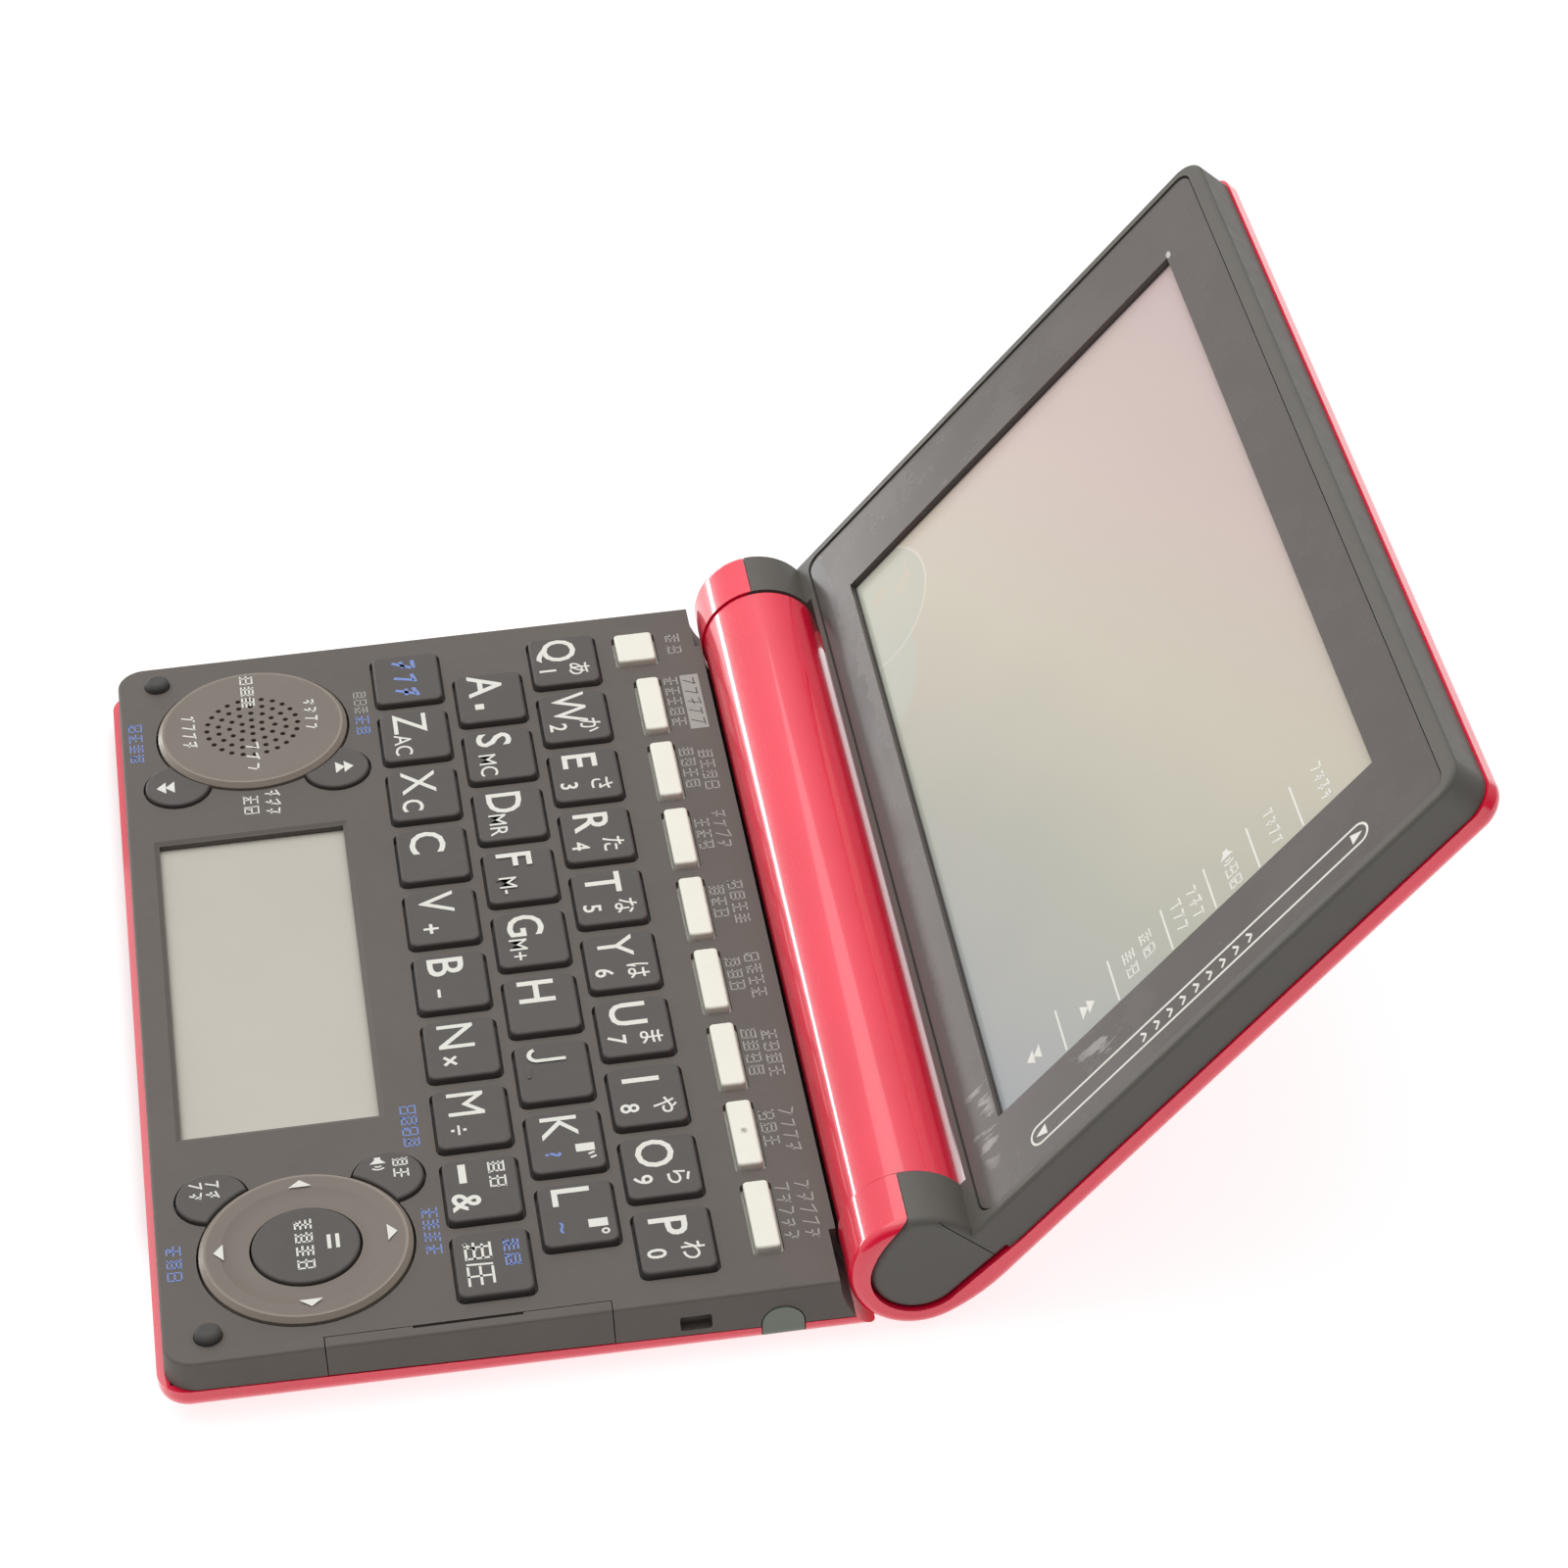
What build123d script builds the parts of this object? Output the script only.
"""Pocket electronic dictionary: a clamshell with a keyboard base, a battery barrel and a display lid.

Frame: X runs along the hinge, +Y points from the user to the hinge side, +Z points up.
The origin is on the ground under the middle of the outer box. All lengths are millimetres.
Base sketches use level(z), whose local Y is measured from the hinge axis.
Lid sketches use lid_level(d), whose local Y is the distance u from the hinge axis along the lid
and whose normal d leaves the display side of the lid.
"""

from build123d import *
from math import asin, atan2, cos, degrees, radians, sin
import os

os.makedirs("parts", exist_ok=True)

# ---- overall sizes ----
WIDTH = 148.5
TOP_Z = 10.15  # keyboard face above the ground
AXIS_Z = 9.85  # hinge axis above the ground
BARREL_R = 8.65
LID_ANGLE = 47.3  # lid above the horizontal, as stored
LID_LENGTH = 97.0  # hinge axis to the far edge of the lid
BASE_FRONT = 96.9  # hinge axis to the front edge of the lower case
SEAM_GAP = 0.12  # visible joint line between two covers
FIT = 0.1  # clearance of a seated piece
OVERCUT = 1.0  # how far a cutter runs past the face it opens
NEAR = 0.01  # tolerance when edges are picked by their place

# ---- base shells ----
TOP_INSET = 0.35  # the keyboard face is smaller than the lower case by this much at each side
FRONT_INSET = 1.2
CASE_DRAFT = 3.0  # degrees, upper case walls
CORNER_R = 4.0
PARTING_FRONT_Z = 5.85
PARTING_REAR_Z = 4.0
BOTTOM_FRONT_Z = 2.4
BOTTOM_REAR_Z = 1.45
BOTTOM_ROUND = 2.2
WALL = 1.6
FLOOR = 1.1
SKIN = 1.1  # keyboard face
TOP_ROUND = 0.4
REAR_WALL = 2.85  # wall in front of the barrel
CASE_ROOT = 4.25  # how far the walls run into the barrel's circle before it is cut out
BARREL_GAP = 0.55  # upper case to barrel
KNUCKLE_GAP = 1.15  # case to lid knuckle

# ---- barrel and batteries ----
KNUCKLE_PROUD = 0.3  # the lid's knuckles stand out from the barrel
KNUCKLE_WIDTH = 9.75
KNUCKLE_SIDE_GAP = 0.4
TRUNNION_R = 4.5
TRUNNION_LENGTH = 7.4
TRUNNION_FIT = 0.06
TRUNNION_BORE = 7.6  # depth
CELL_R = 6.95
CELL_LENGTH = 50.0
CELL_TIP_R = 2.6
CELL_TIP = 1.2
CELL_ROOM = 0.25  # cell to the wall of its bay
CELL_END_ROOM = 0.2
CELL_PASS_ROOM = 0.15  # cell to the edge of the cover that slides under it
CONTACT_ROOM = 0.5  # for the end contacts
COVER_WALL = 1.0
COVER_SPAN = 120.0  # degrees of the barrel that the battery cover takes
COVER_MIDDLE = -58.5  # degrees from +Y, towards the ground
COVER_SEAT_TURN = 0.6  # degrees of play at each long edge
GRIP_ANGLES = (-24.0, -20.0, -16.0)
GRIP_TURN = 1.5  # degrees, width of a groove
GRIP_DEPTH = 0.35
GRIP_HALF = 8.0

# ---- letter keys ----
KEY_MARGIN = 11.07  # case side to the centre of the first key
KEY_SPACE = 2.4  # between the caps of a row
ROW_SPACE = 2.05  # between the caps of two rows
ROW_Q_Y = -29.8
ROW_Z_LEAD = 9.55  # rear edge of the discs to the middle of the last row
ROW_STAGGER = 7.0
KEY_CORNER = 1.2
KEY_PROUD = 0.9
KEY_GAP = 0.4
KEY_FLANGE = 0.8
FLANGE_THICK = 0.4
FLANGE_DROP = 0.05
KEY_EDGE = 0.35
HOMING_BAR = (2.4, 0.5, 0.15)
HOMING_INSET = 1.5
HOMING_KEYS = ("key_f", "key_j")
ROW_Q = "qwertyuiop"
ROW_A = "asdfghjkl"
ROW_Z = ("shift", "z", "x", "c", "v", "b", "n", "m", "symbol", "delete")

# ---- function and power keys ----
FUNCTION_COUNT = 8
FUNCTION_MARGINS = (23.95, 13.74)  # case sides to the centres of the first and the last key
FUNCTION_SPACE = 3.23
FUNCTION_DEPTH = 3.3
FUNCTION_Y = -18.2
POWER_SIZE = (6.8, 5.6)
POWER_MARGIN = 9.75
POWER_Y = -19.0

# ---- speaker disc, cursor ring and the round keys beside them ----
DISC_R = 13.8
DISC_MARGINS = (4.85, 6.55)  # disc to the case side and to the front edge
DISC_GAP = 0.35
DISC_PROUD = 0.85
DISC_BASE_Z = 8.55
DISC_EDGE = 0.6
RING_BORE = 7.3
RING_DISH_R = 11.0
RING_DISH = (0.15, 0.5, 0.45)  # depth at the outer edge, in the middle and at the bore
ENTER_GAP = 0.3
GRILLE_STEP = 1.66
GRILLE_HOLE_R = 0.4
GRILLE_RINGS = 4
GRILLE_FIRST = 6  # holes in the first ring, and added by each further ring
SIDE_KEY_R = 4.65
SIDE_KEY_REACH = 2.4  # disc edge to the key's centre
SIDE_KEY_ANGLE = 45.2
SIDE_KEY_PROUD = 0.55
SIDE_KEY_DISC_GAP = 0.3

# ---- touch panel in the base ----
PAD_DISC_MARGIN = 10.4  # pad opening to the discs
PAD_FRONT_MARGIN = 5.5
PAD_DEPTH = 26.2
PAD_RECESS = 1.3
PAD_THICK = 3.2
PAD_BEVEL = 0.7
PAD_BEVEL_DEPTH = 0.35
PAD_BEVEL_SLOPE = 60.0
PAD_BORDER = 1.5

# ---- side door, stylus, strap slot ----
DOOR_MARGINS = (21.5, 57.7)  # front edge to the two ends of the door
DOOR_TOP_LIP = 1.8
DOOR_GAP = 0.15
DOOR_GRIP = (14.0, 0.35)
STYLUS_LEAD = 6.1  # rear wall to the stylus
STYLUS_Z = 4.6
STYLUS_R = 1.8
STYLUS_LENGTH = 88.0
STYLUS_TIP = 4.0
STYLUS_TIP_TAPER = 18.0
STYLUS_CAP = (5.4, 5.2, 2.4)
STYLUS_CAP_ROUND = 1.5
STYLUS_GAP = 0.15
STRAP_SLOT = (4.1, 2.3)
STRAP_CORNER = 0.3
STRAP_PLACE = (-28.7, 6.4)
STRAP_DEPTH = 1.2

# ---- inside the base ----
BOARD_LOW_Z = 6.5
BOARD_THICK = 1.0
BOARD_MARGIN = 2.4
BOARD_ENDS = (3.3, 4.3)  # front edge and rear wall to the board
CHIPS = ((-20.0, -40.0, 14.0, 14.0, 1.2), (6.0, -44.0, 12.0, 18.0, 1.0), (28.0, -36.0, 8.0, 8.0, 0.9))
SOCKET = (14.5, 15.0, 2.4)
SOCKET_Y = -50.0
CARD_SLOT = (11.4, 1.1, 13.0)
SPEAKER_R = 10.0
SPEAKER_DEPTH = 2.6
MAT_THICK = 0.4
MAT_LIFT = 0.02
BOSS_R = 2.0
SCREW_PAD_LEAD = (4.0, 1.45)  # pad opening to the front screws, and their offset from the discs
SCREW_SIDE_MARGIN = 4.25
SCREW_REAR_LEAD = 2.05
SCREW_R = 0.8
SCREW_HEAD_R = 1.5
SCREW_HEAD = 1.1
SCREW_HEAD_DEPTH = 0.5
SCREW_TIP_Z = 9.2
SCREW_ROOM = 0.08
SCREW_CROSS = (1.8, 0.4)

# ---- rubber feet and bumpers ----
FOOT_R = 4.0
FOOT_MARGINS = (12.25, 8.9)  # case side and front edge to a foot's centre
FOOT_POCKET_Z = 2.9
FOOT_ROUND = 0.3
REAR_FOOT_SHARE = 0.4  # of the barrel's length between the battery bay and its end
REAR_FOOT_DEPTH = 4.0
REAR_FOOT_HEIGHT = 1.75
BUMPER_R = 1.9
BUMPER_MARGINS = (5.05, 7.0)
BUMPER_PROUD = 1.2
BUMPER_SEAT = 0.6
BUMPER_ROUND = 0.85

# ---- lid ----
BACK_PROUD = 1.05  # back face of the lid outside the knuckles' circle
BACK_REACH = 6.0  # hinge axis to where the knuckles' curve runs out into the back face
BACK_DEPTH = 3.0  # back face of the lid to the joint line
LID_RIM = -1.4  # display side of the rim, in front of the hinge axis
LID_ROUND = 1.6
LID_WALL = 1.8
LID_FLOOR = 1.3
LID_CORNER_R = 4.0
HINGE_EDGE_GAP = 0.95  # knuckle's circle to the lid's edge
PANEL_SINK = 0.24  # rim to the panel's face
PANEL_THICK = 1.2
PANEL_MARGINS = (2.15, 1.05, 2.8)  # at the sides, the hinge edge and the far edge
PANEL_CORNER = 2.2
PANEL_GAP = 0.25
SCREEN_MARGINS = (12.7, 6.35, 8.0)  # inside the panel, in the same order
SCREEN_RECESS = 1.0
SCREEN_LEDGE = 1.2
LEDGE_THICK = 1.0
DISPLAY_MARGIN = 2.6
DISPLAY_ROOM = 0.5  # display to the floor of the back cover
RIM_WALL = 2.65  # red rim around the grey knuckle core
RIM_SEAM_ANGLE = 50.5  # degrees from the lid's own direction
RIM_FULL_ANGLE = 118.0
RIM_END_ANGLE = 270.0
RIM_SWELL = (7.05, 80.0)  # radius and angle of a point on the rim's swelling end
RIM_INSET = 0.35
RIM_ROUND = 0.6
CORE_ROUND = 1.1
CORE_SEAM = 0.22  # visible joint line between the rim and the grey core
CAP_SEAM_U = 7.8  # hinge axis to the joint line of the knuckle's end cap
CAP_SEAM = (0.16, 0.35)  # width and depth of that line

# ---- places in the base that follow from the sizes ----
SIDES = (-1, 1)
CASE_HALF = WIDTH / 2
TOP_HALF = CASE_HALF - TOP_INSET
KNUCKLE_FACE = CASE_HALF - KNUCKLE_WIDTH
BARREL_HALF = KNUCKLE_FACE - KNUCKLE_SIDE_GAP
BAY_HALF = CELL_LENGTH + CELL_TIP + CONTACT_ROOM
CELL_BAY_R = CELL_R + CELL_ROOM
COVER_FROM = COVER_MIDDLE - COVER_SPAN / 2
COVER_HALF = BAY_HALF - FIT
REAR_WALL_Y = -BARREL_R - REAR_WALL
CASE_REAR_Y = -BARREL_R + CASE_ROOT
SKIN_Z = TOP_Z - SKIN
FLANGE_HIGH_Z = SKIN_Z - FLANGE_DROP
FLANGE_LOW_Z = FLANGE_HIGH_Z - FLANGE_THICK
DISC_X = CASE_HALF - DISC_R - DISC_MARGINS[0]
DISC_Y = -BASE_FRONT + DISC_R + DISC_MARGINS[1]
DISC_TOP_Z = TOP_Z + DISC_PROUD
ENTER_KEY_R = RING_BORE - ENTER_GAP
KEY_FIRST_X = -CASE_HALF + KEY_MARGIN
KEY_PITCH = -2 * KEY_FIRST_X / (len(ROW_Q) - 1)
KEY_WIDTH = KEY_PITCH - KEY_SPACE
ROW_Z_Y = DISC_Y + DISC_R + ROW_Z_LEAD
ROW_A_Y = (ROW_Q_Y + ROW_Z_Y) / 2
KEY_DEPTH = ROW_Q_Y - ROW_A_Y - ROW_SPACE
FUNCTION_FIRST_X = -CASE_HALF + FUNCTION_MARGINS[0]
FUNCTION_PITCH = (CASE_HALF - FUNCTION_MARGINS[1] - FUNCTION_FIRST_X) / (FUNCTION_COUNT - 1)
FUNCTION_WIDTH = FUNCTION_PITCH - FUNCTION_SPACE
POWER_PLACE = (-CASE_HALF + POWER_MARGIN, POWER_Y)
PAD_HALF = DISC_X - DISC_R - PAD_DISC_MARGIN
PAD_LOW_Y = -BASE_FRONT + PAD_FRONT_MARGIN
PAD_HIGH_Y = PAD_LOW_Y + PAD_DEPTH
PAD_FACE_Z = TOP_Z - PAD_RECESS
DOOR_Y = (-BASE_FRONT + DOOR_MARGINS[0], -BASE_FRONT + DOOR_MARGINS[1])
STYLUS_Y = REAR_WALL_Y - STYLUS_LEAD
BOARD_HIGH_Z = BOARD_LOW_Z + BOARD_THICK
MAT_LOW_Z = BOARD_HIGH_Z + MAT_LIFT
SHEET_HALF = CASE_HALF - BOARD_MARGIN - DOOR_TOP_LIP
SHEET_Y = (-BASE_FRONT + BOARD_ENDS[0], REAR_WALL_Y - BOARD_ENDS[1])
SCREW_FRONT = (PAD_HALF + SCREW_PAD_LEAD[0], DISC_Y - SCREW_PAD_LEAD[1])
SCREW_MIDDLE_Y = (PAD_HIGH_Y + PAD_BORDER + ROW_Z_Y - KEY_DEPTH / 2 - KEY_FLANGE) / 2
SCREW_REAR = (CASE_HALF - SCREW_SIDE_MARGIN, REAR_WALL_Y - SCREW_REAR_LEAD)
FOOT_PLACE = (CASE_HALF - FOOT_MARGINS[0], -BASE_FRONT + FOOT_MARGINS[1])
REAR_FOOT_X = (BARREL_HALF + BAY_HALF) / 2
REAR_FOOT_WIDTH = REAR_FOOT_SHARE * (BARREL_HALF - BAY_HALF)
BUMPER_PLACE = (CASE_HALF - BUMPER_MARGINS[0], -BASE_FRONT + BUMPER_MARGINS[1])

# ---- places in the lid that follow from the sizes ----
LEAN = radians(LID_ANGLE)
KNUCKLE_R = BARREL_R + KNUCKLE_PROUD
LID_BACK = -KNUCKLE_R - BACK_PROUD
LID_PARTING = LID_BACK + BACK_DEPTH
LID_HINGE_EDGE = KNUCKLE_R + HINGE_EDGE_GAP
ARM_END = LID_HINGE_EDGE + LID_WALL
CORE_R = KNUCKLE_R - RIM_WALL
BLEND_R = (BACK_REACH ** 2 + LID_BACK ** 2 - KNUCKLE_R ** 2) / (2 * BACK_PROUD)
BLEND_FROM = 180 + degrees(atan2(LID_BACK + BLEND_R, BACK_REACH))
RIM_ANGLE = -degrees(asin(-LID_RIM / KNUCKLE_R))
CORE_TURN = degrees(CORE_SEAM / KNUCKLE_R)
PANEL_FACE = LID_RIM - PANEL_SINK
PANEL_HALF = CASE_HALF - PANEL_MARGINS[0]
PANEL_U = (LID_HINGE_EDGE + PANEL_MARGINS[1], LID_LENGTH - PANEL_MARGINS[2])
PANEL_MIDDLE_U = (PANEL_U[0] + PANEL_U[1]) / 2
PANEL_LENGTH = PANEL_U[1] - PANEL_U[0]
SCREEN_HALF = PANEL_HALF - SCREEN_MARGINS[0]
SCREEN_U = (PANEL_U[0] + SCREEN_MARGINS[1], PANEL_U[1] - SCREEN_MARGINS[2])
SCREEN_MIDDLE_U = (SCREEN_U[0] + SCREEN_U[1]) / 2
SCREEN_LENGTH = SCREEN_U[1] - SCREEN_U[0]
SCREEN_D = PANEL_FACE - SCREEN_RECESS
LEDGE_D = PANEL_FACE - PANEL_THICK
WINDOW_HALF = SCREEN_HALF + SCREEN_LEDGE
WINDOW_LENGTH = SCREEN_LENGTH + 2 * SCREEN_LEDGE
DISPLAY_HALF = SCREEN_HALF + DISPLAY_MARGIN
DISPLAY_LENGTH = SCREEN_LENGTH + 2 * DISPLAY_MARGIN
DISPLAY_BACK = LID_BACK + LID_FLOOR + DISPLAY_ROOM
LID_REACH = (LID_LENGTH - LID_ROUND) * cos(LEAN) - (LID_BACK + LID_ROUND) * sin(LEAN) + LID_ROUND

# ---- where the hinge axis stands in the frame ----
HINGE_Y = (BASE_FRONT - LID_REACH) / 2
HINGE = Vector(0, HINGE_Y, AXIS_Z)
LID_NORMAL = Vector(0, -sin(LEAN), cos(LEAN))
LID_ALONG = Vector(0, cos(LEAN), sin(LEAN))

# ---- places of repeated pieces ----
SCREW_PLACES = [(0.0, SCREW_MIDDLE_Y)]
FOOT_PLACES = []
BUMPER_PLACES = []
for side in SIDES:
    SCREW_PLACES.append((side * SCREW_FRONT[0], SCREW_FRONT[1]))
    SCREW_PLACES.append((side * SCREW_REAR[0], SCREW_REAR[1]))
    FOOT_PLACES.append((side * FOOT_PLACE[0], FOOT_PLACE[1]))
    BUMPER_PLACES.append((side * BUMPER_PLACE[0], BUMPER_PLACE[1]))
LETTER_KEYS = {}
for i, letter in enumerate(ROW_Q):
    LETTER_KEYS[f"key_{letter}"] = (KEY_FIRST_X + i * KEY_PITCH, ROW_Q_Y)
for i, letter in enumerate(ROW_A):
    LETTER_KEYS[f"key_{letter}"] = (KEY_FIRST_X + ROW_STAGGER + i * KEY_PITCH, ROW_A_Y)
for i, letter in enumerate(ROW_Z):
    LETTER_KEYS[f"key_{letter}"] = (KEY_FIRST_X + i * KEY_PITCH, ROW_Z_Y)
FUNCTION_KEYS = {}
for i in range(FUNCTION_COUNT):
    FUNCTION_KEYS[f"function_key_{i + 1}"] = (FUNCTION_FIRST_X + i * FUNCTION_PITCH, FUNCTION_Y)
SIDE_KEYS = {}
for name, side, way in (
    ("page_up_key", -1, 1),
    ("page_down_key", -1, -1),
    ("voice_key", 1, 1),
    ("back_key", 1, -1),
):
    across = (DISC_R + SIDE_KEY_REACH) * cos(radians(SIDE_KEY_ANGLE))
    along = (DISC_R + SIDE_KEY_REACH) * sin(radians(SIDE_KEY_ANGLE))
    SIDE_KEYS[name] = ((side * (DISC_X - across), DISC_Y + way * along), side * DISC_X)


def level(z):
    """Horizontal plane at height z, with its local origin under the hinge axis."""
    return Plane(origin=(0, HINGE_Y, z), x_dir=(1, 0, 0), z_dir=(0, 0, 1))


def base_section(x):
    """Upright plane across the hinge at x, local X along +Y and local Y up, from the hinge axis."""
    return Plane(origin=(x, HINGE_Y, AXIS_Z), x_dir=(0, 1, 0), z_dir=(1, 0, 0))


def disc_section(x):
    """Upright plane along the hinge through a disc's centre, local Y up from the ground."""
    return Plane(origin=(x, HINGE_Y + DISC_Y, 0), x_dir=(1, 0, 0), z_dir=(0, -1, 0))


def lid_level(d):
    """Plane parallel to the display, at distance d in front of the hinge axis."""
    return Plane(origin=HINGE + LID_NORMAL * d, x_dir=(1, 0, 0), z_dir=LID_NORMAL)


def lid_section(x):
    """Plane across the hinge at x, local X along the lid and local Y out of the display side."""
    return Plane(origin=(x, HINGE_Y, AXIS_Z), x_dir=LID_ALONG, z_dir=(1, 0, 0))


def slope_z(front_z, rear_z, y):
    """Height at y of a plane that runs from front_z at the front edge to rear_z at the knuckles."""
    share = (y + BASE_FRONT) / (BASE_FRONT - BARREL_R)
    return front_z + (rear_z - front_z) * share


def parting_z(y):
    """Height of the joint line between the upper and the lower case."""
    return slope_z(PARTING_FRONT_Z, PARTING_REAR_Z, y)


def bottom_z(y):
    """Height of the underside of the lower case."""
    return slope_z(BOTTOM_FRONT_Z, BOTTOM_REAR_Z, y)


def slab(low_y, high_y, low_of, high_of):
    """Face in base_section between two heights, given as functions of y."""
    with BuildLine() as outline:
        Polyline(
            (low_y, low_of(low_y) - AXIS_Z),
            (high_y, low_of(high_y) - AXIS_Z),
            (high_y, high_of(high_y) - AXIS_Z),
            (low_y, high_of(low_y) - AXIS_Z),
            close=True,
        )
    make_face(outline.edges())


def polar(radius, angle):
    """Point at an angle, in degrees from local X, on a circle about the local origin."""
    return (radius * cos(radians(angle)), radius * sin(radians(angle)))


def ring_sector(inner, outer, start, stop):
    """Face of a ring sector between two angles, in degrees."""
    middle = (start + stop) / 2
    with BuildLine() as outline:
        ThreePointArc(polar(outer, start), polar(outer, middle), polar(outer, stop))
        Line(polar(outer, stop), polar(inner, stop))
        ThreePointArc(polar(inner, stop), polar(inner, middle), polar(inner, start))
        Line(polar(inner, start), polar(outer, start))
    make_face(outline.edges())


def box_between(low_x, high_x, low_y, high_y):
    """Rectangle between four limits of the local axes."""
    with Locations(((low_x + high_x) / 2, (low_y + high_y) / 2)):
        Rectangle(high_x - low_x, high_y - low_y)


def lid_depth(edge):
    """Distance of an edge in front of the hinge axis, measured along the lid's normal."""
    return (edge.center() - HINGE).dot(LID_NORMAL)


def lid_reach(edge):
    """Distance of an edge from the hinge axis along the lid."""
    return (edge.center() - HINGE).dot(LID_ALONG)


def save(name, part):
    """Label a finished piece and write it as its own file."""
    part.label = name
    export_step(part, f"parts/{name}.step")


# ---- base_upper_case: keyboard face and grey side walls ----
def stylus_slot(grow):
    """Outline of the stylus cap in a section plane: flat sides and a round top."""
    half = STYLUS_CAP[0] / 2 + grow
    low = STYLUS_Z - STYLUS_CAP[1] / 2 - grow - AXIS_Z
    high = STYLUS_Z + STYLUS_CAP[1] / 2 + grow - AXIS_Z
    shoulder = high - half
    with BuildLine() as outline:
        Polyline((STYLUS_Y - half, shoulder), (STYLUS_Y - half, low),
                 (STYLUS_Y + half, low), (STYLUS_Y + half, shoulder))
        ThreePointArc((STYLUS_Y + half, shoulder), (STYLUS_Y, high), (STYLUS_Y - half, shoulder))
    make_face(outline.edges())


with BuildPart() as upper:
    # outer block with drafted walls, cut off at the joint line
    with BuildSketch(level(TOP_Z)) as face:
        box_between(-TOP_HALF, TOP_HALF, -BASE_FRONT + FRONT_INSET, CASE_REAR_Y)
        fillet(face.vertices().group_by(Axis.Y)[0], CORNER_R)
    extrude(amount=-(TOP_Z - PARTING_REAR_Z + OVERCUT), taper=-CASE_DRAFT)
    fillet(upper.faces().sort_by(Axis.Z)[-1].edges(), TOP_ROUND)
    with BuildSketch(base_section(-WIDTH)):
        slab(-BASE_FRONT - OVERCUT, 0, lambda y: 0, lambda y: parting_z(y) + SEAM_GAP / 2)
    extrude(amount=2 * WIDTH, mode=Mode.SUBTRACT)
    # room inside
    with BuildSketch(level(SKIN_Z)) as room:
        box_between(-TOP_HALF + WALL, TOP_HALF - WALL, -BASE_FRONT + FRONT_INSET + WALL, REAR_WALL_Y)
        fillet(room.vertices().group_by(Axis.Y)[0], CORNER_R - WALL)
    extrude(amount=-SKIN_Z, mode=Mode.SUBTRACT)
    # clearance to the barrel and to the lid's knuckles
    with BuildSketch(base_section(0)):
        Circle(BARREL_R + BARREL_GAP)
    extrude(amount=WIDTH, both=True, mode=Mode.SUBTRACT)
    with BuildSketch(base_section(BARREL_HALF), base_section(-WIDTH)):
        Circle(KNUCKLE_R + KNUCKLE_GAP)
    extrude(amount=WIDTH - BARREL_HALF, mode=Mode.SUBTRACT)
    # screw bosses
    with BuildSketch(level(SKIN_Z)):
        with Locations(*SCREW_PLACES):
            Circle(BOSS_R)
    extrude(amount=-(SKIN_Z - BOARD_HIGH_Z))
    with BuildSketch(level(SCREW_TIP_Z + SCREW_ROOM)):
        with Locations(*SCREW_PLACES):
            Circle(SCREW_R + SCREW_ROOM)
    extrude(amount=-SCREW_TIP_Z, mode=Mode.SUBTRACT)
    # openings for keys, discs and touch panel
    with BuildSketch(level(TOP_Z + OVERCUT)):
        with Locations(*LETTER_KEYS.values()):
            RectangleRounded(KEY_WIDTH + 2 * KEY_GAP, KEY_DEPTH + 2 * KEY_GAP, KEY_CORNER)
        with Locations(*FUNCTION_KEYS.values()):
            RectangleRounded(FUNCTION_WIDTH + 2 * KEY_GAP, FUNCTION_DEPTH + 2 * KEY_GAP, KEY_CORNER / 2)
        with Locations(POWER_PLACE):
            RectangleRounded(POWER_SIZE[0] + 2 * KEY_GAP, POWER_SIZE[1] + 2 * KEY_GAP, KEY_CORNER / 2)
        with Locations((-DISC_X, DISC_Y), (DISC_X, DISC_Y)):
            Circle(DISC_R + DISC_GAP)
        with Locations(*[place for place, disc_x in SIDE_KEYS.values()]):
            Circle(SIDE_KEY_R + DISC_GAP)
        box_between(-PAD_HALF, PAD_HALF, PAD_LOW_Y, PAD_HIGH_Y)
    extrude(amount=-(SKIN + OVERCUT), mode=Mode.SUBTRACT)
    with BuildSketch(level(TOP_Z)):
        box_between(-PAD_HALF - PAD_BEVEL, PAD_HALF + PAD_BEVEL,
                    PAD_LOW_Y - PAD_BEVEL, PAD_HIGH_Y + PAD_BEVEL)
    extrude(amount=-PAD_BEVEL_DEPTH, taper=PAD_BEVEL_SLOPE, mode=Mode.SUBTRACT)
    # seats of the bumpers
    with BuildSketch(level(TOP_Z - BUMPER_SEAT)):
        with Locations(*BUMPER_PLACES):
            Circle(BUMPER_R)
    extrude(amount=BUMPER_SEAT, mode=Mode.SUBTRACT)
    # stylus mouth, strap slot and door space in the right side
    with BuildSketch(base_section(CASE_HALF + OVERCUT)):
        stylus_slot(STYLUS_GAP)
    extrude(amount=-(OVERCUT + STYLUS_CAP[2] + STYLUS_GAP), mode=Mode.SUBTRACT)
    with BuildSketch(base_section(CASE_HALF + OVERCUT)):
        with Locations((STRAP_PLACE[0], STRAP_PLACE[1] - AXIS_Z)):
            RectangleRounded(*STRAP_SLOT, STRAP_CORNER)
    extrude(amount=-(OVERCUT + TOP_INSET + STRAP_DEPTH), mode=Mode.SUBTRACT)
    with BuildSketch(base_section(CASE_HALF + OVERCUT)):
        slab(DOOR_Y[0] - DOOR_GAP, DOOR_Y[1] + DOOR_GAP, lambda y: 0, lambda y: TOP_Z + OVERCUT)
    extrude(amount=-(OVERCUT + TOP_INSET + DOOR_TOP_LIP + DOOR_GAP), mode=Mode.SUBTRACT)
save("base_upper_case", upper.part)

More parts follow.
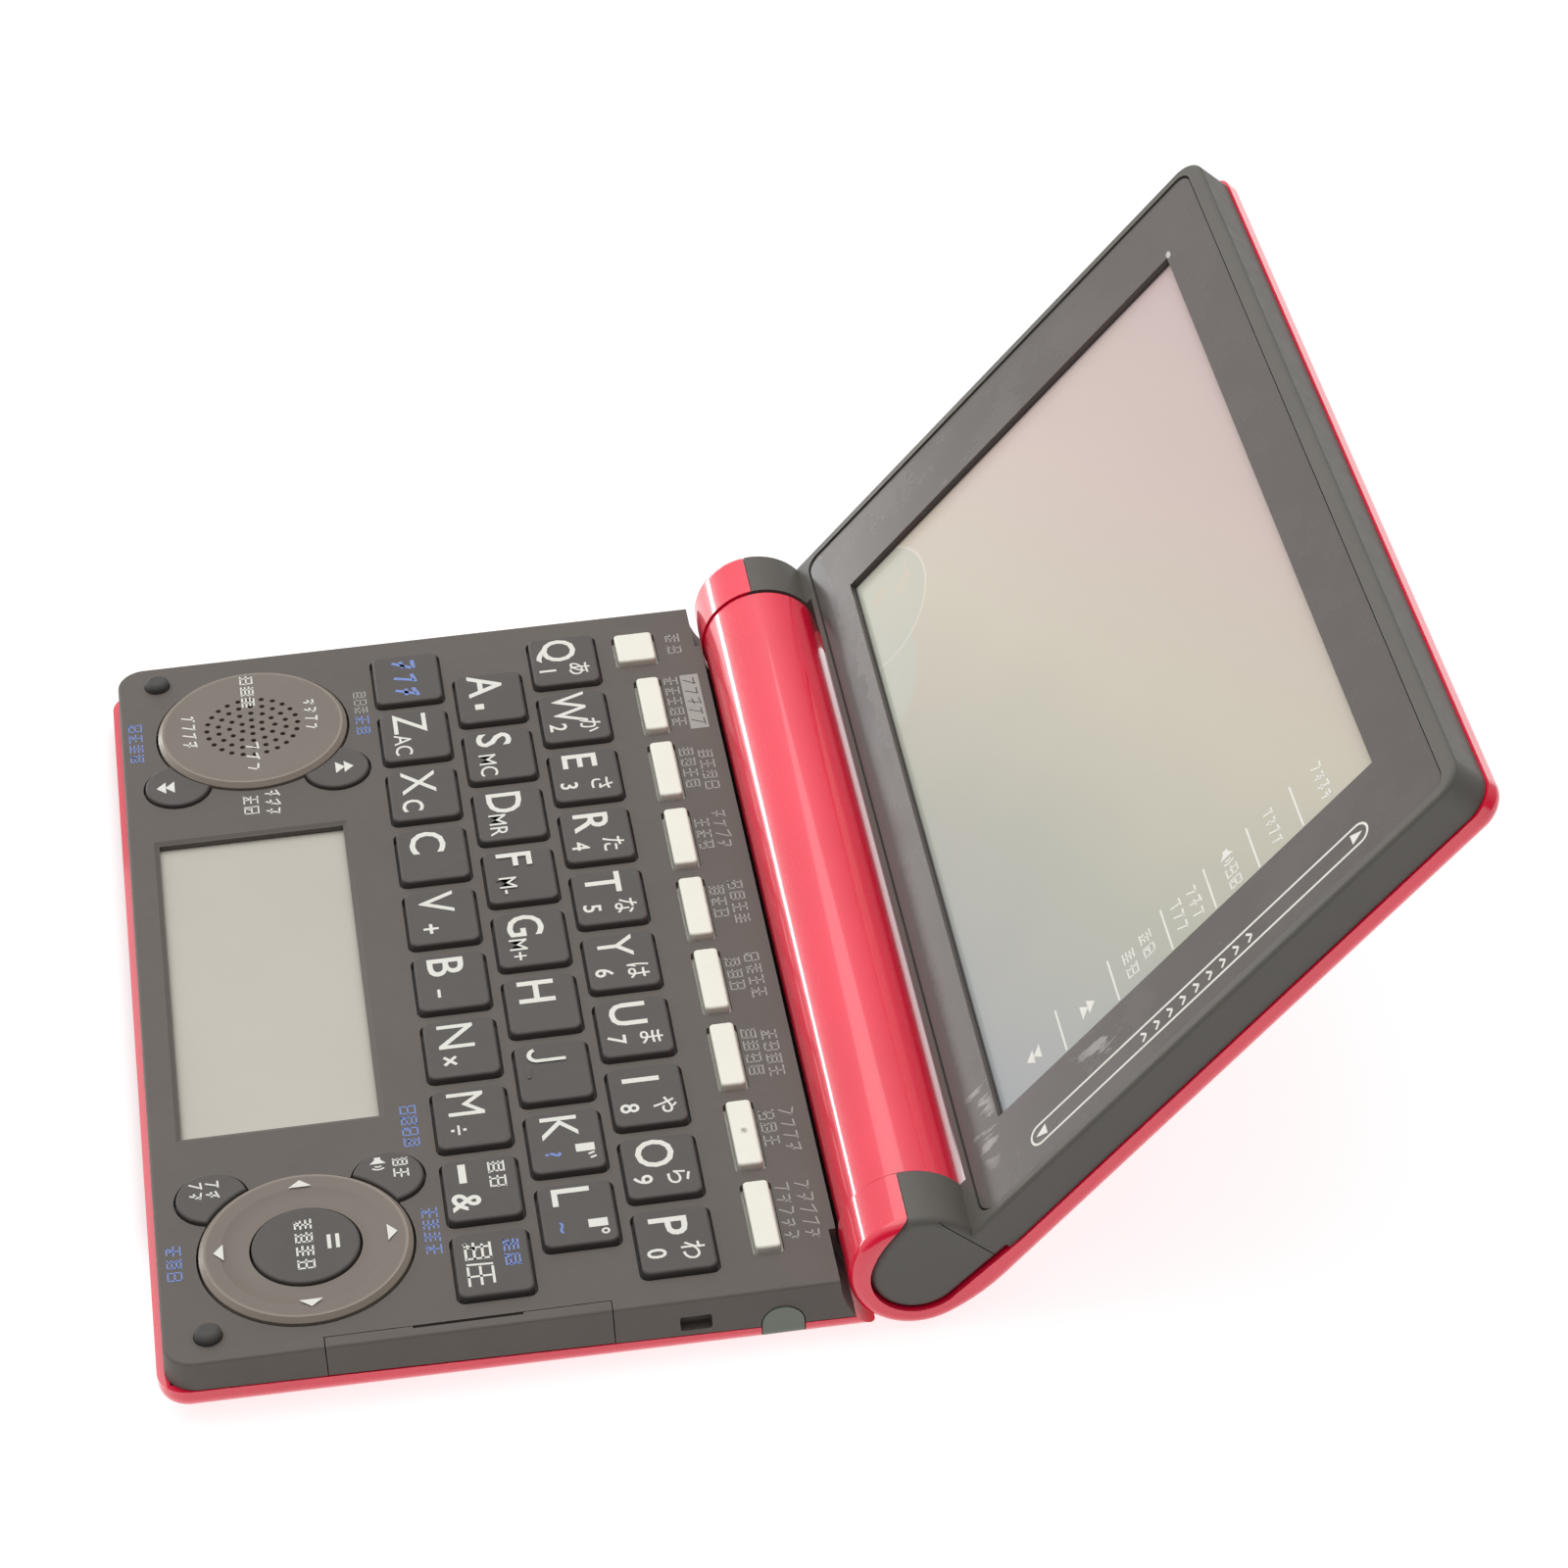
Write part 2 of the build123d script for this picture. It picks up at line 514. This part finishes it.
# ---- card_door: the wall section over the card slot, hinged along its lower edge ----
with BuildPart() as door:
    with BuildSketch(level(TOP_Z)):
        box_between(0, TOP_HALF, *DOOR_Y)
    extrude(amount=-(TOP_Z - PARTING_REAR_Z + OVERCUT), taper=-CASE_DRAFT)
    fillet(door.faces().sort_by(Axis.Z)[-1].edges().sort_by(Axis.X)[-1], TOP_ROUND)
    with BuildSketch(base_section(CASE_HALF - TOP_INSET - DOOR_TOP_LIP)):
        slab(*DOOR_Y, lambda y: parting_z(y) + SEAM_GAP, lambda y: TOP_Z + OVERCUT)
    extrude(amount=CASE_HALF, mode=Mode.INTERSECT)
    with BuildSketch(level(TOP_Z)):
        with Locations((TOP_HALF - DOOR_TOP_LIP, (DOOR_Y[0] + DOOR_Y[1]) / 2)):
            Rectangle(2 * DOOR_GRIP[1], DOOR_GRIP[0])
    extrude(amount=-2 * DOOR_GRIP[1], mode=Mode.SUBTRACT)
save("card_door", door.part)

# ---- base_lower_case: red tray, battery barrel and hinge trunnions ----
with BuildPart() as lower:
    # tray
    with BuildSketch(base_section(-CASE_HALF)):
        slab(-BASE_FRONT, CASE_REAR_Y, bottom_z, lambda y: parting_z(y) - SEAM_GAP / 2)
    extrude(amount=WIDTH)
    fillet(lower.edges().filter_by(Axis.Z).group_by(Axis.Y)[0], CORNER_R)
    under = lower.faces().sort_by(Axis.Z)[0]
    fillet(under.edges().sort_by(Axis.Y)[:-1], BOTTOM_ROUND)
    with BuildSketch(base_section(-CASE_HALF + WALL)):
        slab(-BASE_FRONT + WALL, REAR_WALL_Y, lambda y: bottom_z(y) + FLOOR, lambda y: TOP_Z)
    extrude(amount=WIDTH - 2 * WALL, mode=Mode.SUBTRACT)
    # barrel and trunnions
    with BuildSketch(base_section(-BARREL_HALF)):
        Circle(BARREL_R)
    extrude(amount=2 * BARREL_HALF)
    with BuildSketch(base_section(BARREL_HALF), base_section(-WIDTH)):
        Circle(KNUCKLE_R + KNUCKLE_GAP)
    extrude(amount=WIDTH - BARREL_HALF, mode=Mode.SUBTRACT)
    with BuildSketch(base_section(0)):
        Circle(TRUNNION_R)
    extrude(amount=BARREL_HALF + TRUNNION_LENGTH, both=True)
    # battery bay, open towards its cover
    with BuildSketch(base_section(-BAY_HALF)):
        Circle(CELL_BAY_R)
        with Locations(polar(BARREL_R, COVER_MIDDLE)):
            Rectangle(2 * BARREL_R, 2 * CELL_BAY_R, rotation=COVER_MIDDLE)
        ring_sector(BARREL_R - COVER_WALL - FIT, BARREL_R + OVERCUT,
                    COVER_FROM - COVER_SEAT_TURN, COVER_FROM + COVER_SPAN + COVER_SEAT_TURN)
    extrude(amount=2 * BAY_HALF, mode=Mode.SUBTRACT)
    # screw bosses, drilled and counterbored
    for x, y in SCREW_PLACES:
        with BuildSketch(level(BOARD_LOW_Z)):
            with Locations((x, y)):
                Circle(BOSS_R)
        extrude(amount=bottom_z(y) + FLOOR / 2 - BOARD_LOW_Z)
    with BuildSketch(level(BOARD_LOW_Z)):
        with Locations(*SCREW_PLACES):
            Circle(SCREW_R + SCREW_ROOM)
    extrude(amount=-BOARD_LOW_Z, mode=Mode.SUBTRACT)
    for x, y in SCREW_PLACES:
        with BuildSketch(level(bottom_z(y) + SCREW_HEAD_DEPTH + SCREW_HEAD)):
            with Locations((x, y)):
                Circle(SCREW_HEAD_R + SCREW_ROOM)
        extrude(amount=-BOARD_LOW_Z, mode=Mode.SUBTRACT)
    # stylus mouth and seats of the feet
    with BuildSketch(base_section(CASE_HALF + OVERCUT)):
        stylus_slot(STYLUS_GAP)
    extrude(amount=-(OVERCUT + STYLUS_CAP[2] + STYLUS_GAP), mode=Mode.SUBTRACT)
    with BuildSketch(level(FOOT_POCKET_Z + FIT)):
        with Locations(*FOOT_PLACES):
            Circle(FOOT_R + FIT)
    extrude(amount=-(FOOT_POCKET_Z + OVERCUT), mode=Mode.SUBTRACT)
    with BuildSketch(level(REAR_FOOT_HEIGHT + FIT)):
        with Locations((-REAR_FOOT_X, 0), (REAR_FOOT_X, 0)):
            Rectangle(REAR_FOOT_WIDTH + 2 * FIT, REAR_FOOT_DEPTH + 2 * FIT)
    extrude(amount=-(REAR_FOOT_HEIGHT + OVERCUT), mode=Mode.SUBTRACT)
save("base_lower_case", lower.part)

# ---- battery_cover: curved plate over the battery bay, grooved for the thumb ----
with BuildPart() as cover:
    with BuildSketch(base_section(-COVER_HALF)):
        ring_sector(BARREL_R - COVER_WALL, BARREL_R, COVER_FROM, COVER_FROM + COVER_SPAN)
    extrude(amount=2 * COVER_HALF)
    # near edge thinned, so that it slides out under the cells
    with BuildSketch(base_section(-COVER_HALF - OVERCUT)):
        box_between(-BARREL_R, 0, -CELL_R - CELL_PASS_ROOM, 0)
    extrude(amount=2 * (COVER_HALF + OVERCUT), mode=Mode.SUBTRACT)
    for angle in GRIP_ANGLES:
        with BuildSketch(base_section(0)):
            ring_sector(BARREL_R - GRIP_DEPTH, BARREL_R + OVERCUT, angle, angle + GRIP_TURN)
        extrude(amount=GRIP_HALF, both=True, mode=Mode.SUBTRACT)
save("battery_cover", cover.part)

# ---- battery_cells: two AA cells end to end ----
with BuildPart() as cells:
    with BuildSketch(base_section(-BAY_HALF + CELL_END_ROOM), base_section(CELL_END_ROOM)):
        Circle(CELL_R)
    extrude(amount=CELL_LENGTH)
    with BuildSketch(base_section(-BAY_HALF + CELL_END_ROOM + CELL_LENGTH),
                     base_section(CELL_END_ROOM + CELL_LENGTH)):
        Circle(CELL_TIP_R)
    extrude(amount=CELL_TIP)
save("battery_cells", cells.part)


# ---- letter, function and power keys: a flanged cap each ----
def flanged_key(x, y, width, depth, corner):
    """Key cap through the keyboard face, with the flange that holds it under the face."""
    with BuildPart() as key:
        with BuildSketch(level(FLANGE_LOW_Z)):
            with Locations((x, y)):
                Rectangle(width + 2 * KEY_FLANGE, depth + 2 * KEY_FLANGE)
        extrude(amount=FLANGE_THICK)
        with BuildSketch(level(FLANGE_HIGH_Z)):
            with Locations((x, y)):
                RectangleRounded(width, depth, corner)
        extrude(amount=TOP_Z + KEY_PROUD - FLANGE_HIGH_Z)
        fillet(key.faces().sort_by(Axis.Z)[-1].edges(), KEY_EDGE)
    return key.part


def homing_ridge(x, y):
    """Low ridge near the user's edge of a key cap."""
    with BuildPart() as ridge:
        with BuildSketch(level(TOP_Z + KEY_PROUD)):
            with Locations((x, y - KEY_DEPTH / 2 + HOMING_INSET)):
                SlotOverall(HOMING_BAR[0], HOMING_BAR[1])
        extrude(amount=HOMING_BAR[2])
    return ridge.part


for name, (x, y) in LETTER_KEYS.items():
    key = flanged_key(x, y, KEY_WIDTH, KEY_DEPTH, KEY_CORNER)
    if name in HOMING_KEYS:
        key = key + homing_ridge(x, y)
    save(name, key)
for name, (x, y) in FUNCTION_KEYS.items():
    save(name, flanged_key(x, y, FUNCTION_WIDTH, FUNCTION_DEPTH, KEY_CORNER / 2))
save("power_key", flanged_key(*POWER_PLACE, *POWER_SIZE, KEY_CORNER / 2))

# ---- small round keys: each is bitten by the disc beside it ----
for name, ((x, y), disc_x) in SIDE_KEYS.items():
    with BuildPart() as side_key:
        with BuildSketch(level(FLANGE_LOW_Z)):
            with Locations((x, y)):
                Circle(SIDE_KEY_R + KEY_FLANGE)
        extrude(amount=FLANGE_THICK)
        with BuildSketch(level(FLANGE_HIGH_Z)):
            with Locations((x, y)):
                Circle(SIDE_KEY_R)
        extrude(amount=TOP_Z + SIDE_KEY_PROUD - FLANGE_HIGH_Z)
        with BuildSketch(level(FLANGE_LOW_Z)):
            with Locations((disc_x, DISC_Y)):
                Circle(DISC_R + SIDE_KEY_DISC_GAP)
        extrude(amount=TOP_Z, mode=Mode.SUBTRACT)
        fillet(side_key.faces().sort_by(Axis.Z)[-1].edges(), KEY_EDGE)
    save(name, side_key.part)

# ---- speaker_disc: rocker with the loudspeaker's grille ----
with BuildPart() as speaker_disc:
    with BuildSketch(disc_section(-DISC_X)):
        with BuildLine():
            Polyline((0, DISC_BASE_Z), (DISC_R, DISC_BASE_Z), (DISC_R, DISC_TOP_Z - DISC_EDGE),
                     (DISC_R - DISC_EDGE, DISC_TOP_Z), (0, DISC_TOP_Z), close=True)
        make_face()
    revolve(axis=Axis((-DISC_X, HINGE_Y + DISC_Y, 0), (0, 0, 1)))
    with BuildSketch(level(DISC_TOP_Z)):
        with Locations((-DISC_X, DISC_Y)):
            Circle(GRILLE_HOLE_R)
            for ring in range(1, GRILLE_RINGS + 1):
                with PolarLocations(ring * GRILLE_STEP, GRILLE_FIRST * ring):
                    Circle(GRILLE_HOLE_R)
    extrude(amount=-DISC_TOP_Z, mode=Mode.SUBTRACT)
save("speaker_disc", speaker_disc.part)

# ---- cursor_ring: dished rocker around the enter key ----
with BuildPart() as ring_key:
    with BuildSketch(disc_section(DISC_X)):
        with BuildLine():
            Polyline((RING_DISH_R, DISC_TOP_Z - RING_DISH[0]), (DISC_R - DISC_EDGE, DISC_TOP_Z),
                     (DISC_R, DISC_TOP_Z - DISC_EDGE), (DISC_R, DISC_BASE_Z), (RING_BORE, DISC_BASE_Z),
                     (RING_BORE, DISC_TOP_Z - RING_DISH[2]))
            ThreePointArc((RING_BORE, DISC_TOP_Z - RING_DISH[2]),
                          ((RING_BORE + RING_DISH_R) / 2, DISC_TOP_Z - RING_DISH[1]),
                          (RING_DISH_R, DISC_TOP_Z - RING_DISH[0]))
        make_face()
    revolve(axis=Axis((DISC_X, HINGE_Y + DISC_Y, 0), (0, 0, 1)))
save("cursor_ring", ring_key.part)

# ---- enter_key: round key in the middle of the ring ----
with BuildPart() as enter:
    with BuildSketch(level(DISC_BASE_Z)):
        with Locations((DISC_X, DISC_Y)):
            Circle(ENTER_KEY_R)
    extrude(amount=DISC_TOP_Z - DISC_BASE_Z)
    fillet(enter.faces().sort_by(Axis.Z)[-1].edges(), KEY_EDGE)
save("enter_key", enter.part)

# ---- touch_panel: small screen in the base ----
with BuildPart() as pad:
    with BuildSketch(level(PAD_FACE_Z)):
        box_between(-PAD_HALF - PAD_BORDER, PAD_HALF + PAD_BORDER,
                    PAD_LOW_Y - PAD_BORDER, PAD_HIGH_Y + PAD_BORDER)
    extrude(amount=-PAD_THICK)
save("touch_panel", pad.part)


# ---- circuit_board with its chips, card socket and speaker ----
def sheet_outline():
    """Board outline, open at the front for the touch panel."""
    box_between(-SHEET_HALF, SHEET_HALF, *SHEET_Y)
    grow = PAD_BORDER + 2 * FIT
    with BuildSketch(mode=Mode.PRIVATE) as notch:
        box_between(-PAD_HALF - grow, PAD_HALF + grow, SHEET_Y[0] - OVERCUT, PAD_HIGH_Y + grow)
    add(notch.sketch, mode=Mode.SUBTRACT)


with BuildPart() as board:
    with BuildSketch(level(BOARD_LOW_Z)):
        sheet_outline()
        with Locations(*SCREW_PLACES):
            Circle(SCREW_R + 2 * SCREW_ROOM, mode=Mode.SUBTRACT)
    extrude(amount=BOARD_THICK)
    for x, y, width, depth, thick in CHIPS:
        with BuildSketch(level(BOARD_LOW_Z)):
            with Locations((x, y)):
                Rectangle(width, depth)
        extrude(amount=-thick)
    with BuildSketch(level(BOARD_LOW_Z)):
        with Locations((SHEET_HALF - SOCKET[0] / 2, SOCKET_Y)):
            Rectangle(SOCKET[0], SOCKET[1])
    extrude(amount=-SOCKET[2])
    with BuildSketch(base_section(SHEET_HALF)):
        with Locations((SOCKET_Y, BOARD_LOW_Z - SOCKET[2] / 2 - AXIS_Z)):
            Rectangle(CARD_SLOT[0], CARD_SLOT[1])
    extrude(amount=-CARD_SLOT[2], mode=Mode.SUBTRACT)
    with BuildSketch(level(BOARD_LOW_Z)):
        with Locations((-DISC_X, DISC_Y)):
            Circle(SPEAKER_R)
    extrude(amount=-SPEAKER_DEPTH)
save("circuit_board", board.part)

# ---- key_mat: rubber sheet between the board and the keys ----
with BuildPart() as mat:
    with BuildSketch(level(MAT_LOW_Z)):
        sheet_outline()
        with Locations(*SCREW_PLACES):
            Circle(BOSS_R + FIT, mode=Mode.SUBTRACT)
    extrude(amount=MAT_THICK)
save("key_mat", mat.part)

# ---- stylus: rod with a conical tip and a flush cap ----
with BuildPart() as stylus:
    with BuildSketch(base_section(CASE_HALF)):
        stylus_slot(0)
    extrude(amount=-STYLUS_CAP[2])
    fillet(stylus.edges().group_by(Axis.Z)[0].filter_by(Axis.Y).sort_by(Axis.X)[-1], STYLUS_CAP_ROUND)
    with BuildSketch(base_section(CASE_HALF - STYLUS_CAP[2])):
        with Locations((STYLUS_Y, STYLUS_Z - AXIS_Z)):
            Circle(STYLUS_R)
    extrude(amount=-(STYLUS_LENGTH - STYLUS_CAP[2] - STYLUS_TIP))
    with BuildSketch(base_section(CASE_HALF - STYLUS_LENGTH + STYLUS_TIP)):
        with Locations((STYLUS_Y, STYLUS_Z - AXIS_Z)):
            Circle(STYLUS_R)
    extrude(amount=-STYLUS_TIP, taper=STYLUS_TIP_TAPER)
save("stylus", stylus.part)

# ---- case_screws: five screws from below into the bosses ----
with BuildPart() as screws:
    for x, y in SCREW_PLACES:
        head_z = bottom_z(y) + SCREW_HEAD_DEPTH
        with BuildSketch(level(head_z)):
            with Locations((x, y)):
                Circle(SCREW_HEAD_R)
        extrude(amount=SCREW_HEAD)
        with BuildSketch(level(head_z)):
            with Locations((x, y)):
                Circle(SCREW_R)
        extrude(amount=SCREW_TIP_Z - head_z)
        with BuildSketch(level(head_z)):
            with Locations((x, y)):
                Rectangle(*SCREW_CROSS)
                Rectangle(*reversed(SCREW_CROSS))
        extrude(amount=SCREW_HEAD / 2, mode=Mode.SUBTRACT)
save("case_screws", screws.part)

# ---- rubber_feet: four feet below and two bumpers for the closed lid ----
with BuildPart() as rubber:
    with BuildSketch(level(0)):
        with Locations(*FOOT_PLACES):
            Circle(FOOT_R)
    extrude(amount=FOOT_POCKET_Z)
    with BuildSketch(level(0)):
        with Locations((-REAR_FOOT_X, 0), (REAR_FOOT_X, 0)):
            Rectangle(REAR_FOOT_WIDTH, REAR_FOOT_DEPTH)
    extrude(amount=REAR_FOOT_HEIGHT)
    fillet(rubber.edges().group_by(Axis.Z)[0], FOOT_ROUND)
    with BuildSketch(level(TOP_Z - BUMPER_SEAT)):
        with Locations(*BUMPER_PLACES):
            Circle(BUMPER_R - FIT)
    extrude(amount=BUMPER_SEAT + BUMPER_PROUD)
    fillet(rubber.edges().group_by(Axis.Z)[-1], BUMPER_ROUND)
save("rubber_feet", rubber.part)


# ---- lid_back_cover: red shell with the outer rims of the two knuckles ----
def knuckle_start(side):
    """X where the extrusion of a knuckle starts, so that it ends on the lid's side face."""
    return KNUCKLE_FACE if side > 0 else -CASE_HALF


def blend_point(angle):
    """Point, at an angle from the blend's own centre, on the curve from a knuckle to the back face."""
    return (BACK_REACH + BLEND_R * cos(radians(angle)), LID_BACK + BLEND_R + BLEND_R * sin(radians(angle)))


def rim_face():
    """Red part of a knuckle: a rim that thins out towards the seam and runs out into the back face."""
    joint = LID_PARTING - SEAM_GAP / 2
    with BuildLine() as outline:
        ThreePointArc(polar(KNUCKLE_R, RIM_SEAM_ANGLE),
                      polar(KNUCKLE_R, (RIM_SEAM_ANGLE + BLEND_FROM) / 2),
                      polar(KNUCKLE_R, BLEND_FROM))
        ThreePointArc(polar(KNUCKLE_R, BLEND_FROM), blend_point((BLEND_FROM + 270) / 2), (BACK_REACH, LID_BACK))
        Polyline((BACK_REACH, LID_BACK), (ARM_END, LID_BACK), (ARM_END, joint),
                 polar(CORE_R, RIM_END_ANGLE))
        ThreePointArc(polar(CORE_R, RIM_END_ANGLE),
                      polar(CORE_R, (RIM_FULL_ANGLE + RIM_END_ANGLE) / 2),
                      polar(CORE_R, RIM_FULL_ANGLE))
        ThreePointArc(polar(CORE_R, RIM_FULL_ANGLE), polar(*RIM_SWELL), polar(KNUCKLE_R, RIM_SEAM_ANGLE))
    make_face(outline.edges())


with BuildPart() as back:
    with BuildSketch(lid_level(LID_PARTING - SEAM_GAP / 2)) as outline:
        box_between(-CASE_HALF, CASE_HALF, LID_HINGE_EDGE, LID_LENGTH)
        fillet(outline.vertices().group_by(Axis.Y)[-1], LID_CORNER_R)
    extrude(amount=LID_BACK - LID_PARTING + SEAM_GAP / 2)
    for side in SIDES:
        with BuildSketch(lid_section(knuckle_start(side))):
            rim_face()
        extrude(amount=KNUCKLE_WIDTH)
    rounded = back.edges().filter_by(lambda e: abs(abs(e.center().X) - CASE_HALF) < NEAR)
    rounded = rounded.filter_by(lambda e: lid_depth(e) < LID_BACK + LID_ROUND / 2)
    far_low = back.edges().filter_by(lambda e: lid_depth(e) < LID_BACK + NEAR)
    far_low = far_low.filter_by(lambda e: lid_reach(e) > LID_LENGTH - LID_CORNER_R)
    far_low = far_low.filter_by(lambda e: abs(e.center().X) < CASE_HALF - NEAR)
    fillet(rounded + far_low, LID_ROUND)
    with BuildSketch(lid_level(LID_PARTING)):
        box_between(-CASE_HALF + LID_WALL, CASE_HALF - LID_WALL, ARM_END, LID_LENGTH - LID_WALL)
    extrude(amount=LID_BACK - LID_PARTING + LID_FLOOR, mode=Mode.SUBTRACT)
save("lid_back_cover", back.part)


# ---- lid_bezel: grey frame, side walls and knuckle cores ----
def core_face():
    """Grey part of a knuckle: a core inside the red rim, and the quarter that faces the display."""
    inner = CORE_R - SEAM_GAP
    full = RIM_FULL_ANGLE - CORE_TURN
    seam = RIM_SEAM_ANGLE - CORE_TURN
    with BuildLine() as outline:
        ThreePointArc(polar(KNUCKLE_R, RIM_ANGLE), polar(KNUCKLE_R, (RIM_ANGLE + seam) / 2),
                      polar(KNUCKLE_R, seam))
        ThreePointArc(polar(KNUCKLE_R, seam), polar(RIM_SWELL[0] - CORE_SEAM, RIM_SWELL[1]),
                      polar(inner, full))
        ThreePointArc(polar(inner, full), polar(inner, (full + RIM_END_ANGLE) / 2),
                      polar(inner, RIM_END_ANGLE))
        Polyline(polar(inner, RIM_END_ANGLE), (ARM_END, LID_PARTING + SEAM_GAP / 2),
                 (ARM_END, LID_RIM), polar(KNUCKLE_R, RIM_ANGLE))
    make_face(outline.edges())


with BuildPart() as bezel:
    with BuildSketch(lid_level(LID_RIM)) as outline:
        box_between(-CASE_HALF + RIM_INSET, CASE_HALF - RIM_INSET, LID_HINGE_EDGE, LID_LENGTH - RIM_INSET)
        fillet(outline.vertices().group_by(Axis.Y)[-1], LID_CORNER_R)
    extrude(amount=LID_PARTING + SEAM_GAP / 2 - LID_RIM)
    with BuildSketch(lid_section(-CASE_HALF + RIM_INSET), lid_section(KNUCKLE_FACE)):
        core_face()
    extrude(amount=KNUCKLE_WIDTH - RIM_INSET)
    rim = bezel.edges().filter_by(lambda e: lid_depth(e) > LID_RIM - NEAR)
    rim = rim.filter_by(lambda e: lid_reach(e) > ARM_END + LID_WALL)
    fillet(rim, RIM_ROUND)
    cap = bezel.edges().filter_by(lambda e: abs(abs(e.center().X) - CASE_HALF + RIM_INSET) < NEAR)
    fillet(cap.filter_by(lambda e: lid_depth(e) > -LID_RIM), CORE_ROUND)
    # joint line of the end caps
    with BuildSketch(lid_section(-CASE_HALF), lid_section(CASE_HALF - RIM_INSET - CAP_SEAM[1])):
        box_between(CAP_SEAM_U - CAP_SEAM[0] / 2, CAP_SEAM_U + CAP_SEAM[0] / 2, LID_BACK, KNUCKLE_R)
    extrude(amount=RIM_INSET + CAP_SEAM[1], mode=Mode.SUBTRACT)
    # seat of the window panel, opening to the display and room behind the frame
    with BuildSketch(lid_level(LEDGE_D)):
        with Locations((0, PANEL_MIDDLE_U)):
            RectangleRounded(2 * (PANEL_HALF + PANEL_GAP), PANEL_LENGTH + 2 * PANEL_GAP, PANEL_CORNER)
    extrude(amount=PANEL_THICK + OVERCUT, mode=Mode.SUBTRACT)
    with BuildSketch(lid_level(LEDGE_D)):
        with Locations((0, SCREEN_MIDDLE_U)):
            Rectangle(2 * (WINDOW_HALF + FIT), WINDOW_LENGTH + 2 * FIT)
    extrude(amount=-LEDGE_THICK, mode=Mode.SUBTRACT)
    with BuildSketch(lid_level(LEDGE_D - LEDGE_THICK)):
        box_between(-CASE_HALF + LID_WALL, CASE_HALF - LID_WALL, ARM_END, LID_LENGTH - LID_WALL)
    extrude(amount=LID_PARTING - LEDGE_D + LEDGE_THICK, mode=Mode.SUBTRACT)
    # bores that ride on the trunnions
    with BuildSketch(base_section(-KNUCKLE_FACE - TRUNNION_BORE), base_section(KNUCKLE_FACE)):
        Circle(TRUNNION_R + TRUNNION_FIT)
    extrude(amount=TRUNNION_BORE, mode=Mode.SUBTRACT)
save("lid_bezel", bezel.part)

# ---- window_panel: glossy front plate with the display opening ----
with BuildPart() as window:
    with BuildSketch(lid_level(PANEL_FACE)):
        with Locations((0, PANEL_MIDDLE_U)):
            RectangleRounded(2 * PANEL_HALF, PANEL_LENGTH, PANEL_CORNER)
        with Locations((0, SCREEN_MIDDLE_U)):
            Rectangle(2 * SCREEN_HALF, SCREEN_LENGTH, mode=Mode.SUBTRACT)
    extrude(amount=-PANEL_THICK)
save("window_panel", window.part)

# ---- display_module: glass face behind the window, on a wider frame ----
with BuildPart() as display:
    with BuildSketch(lid_level(LEDGE_D - LEDGE_THICK - FIT)):
        with Locations((0, SCREEN_MIDDLE_U)):
            Rectangle(2 * DISPLAY_HALF, DISPLAY_LENGTH)
    extrude(amount=DISPLAY_BACK - LEDGE_D + LEDGE_THICK + FIT)
    with BuildSketch(lid_level(DISPLAY_BACK)):
        with Locations((0, SCREEN_MIDDLE_U)):
            Rectangle(2 * WINDOW_HALF, WINDOW_LENGTH)
    extrude(amount=LEDGE_D - FIT - DISPLAY_BACK)
    with BuildSketch(lid_level(DISPLAY_BACK)):
        with Locations((0, SCREEN_MIDDLE_U)):
            Rectangle(2 * (SCREEN_HALF - FIT), SCREEN_LENGTH - 2 * FIT)
    extrude(amount=SCREEN_D - DISPLAY_BACK)
save("display_module", display.part)
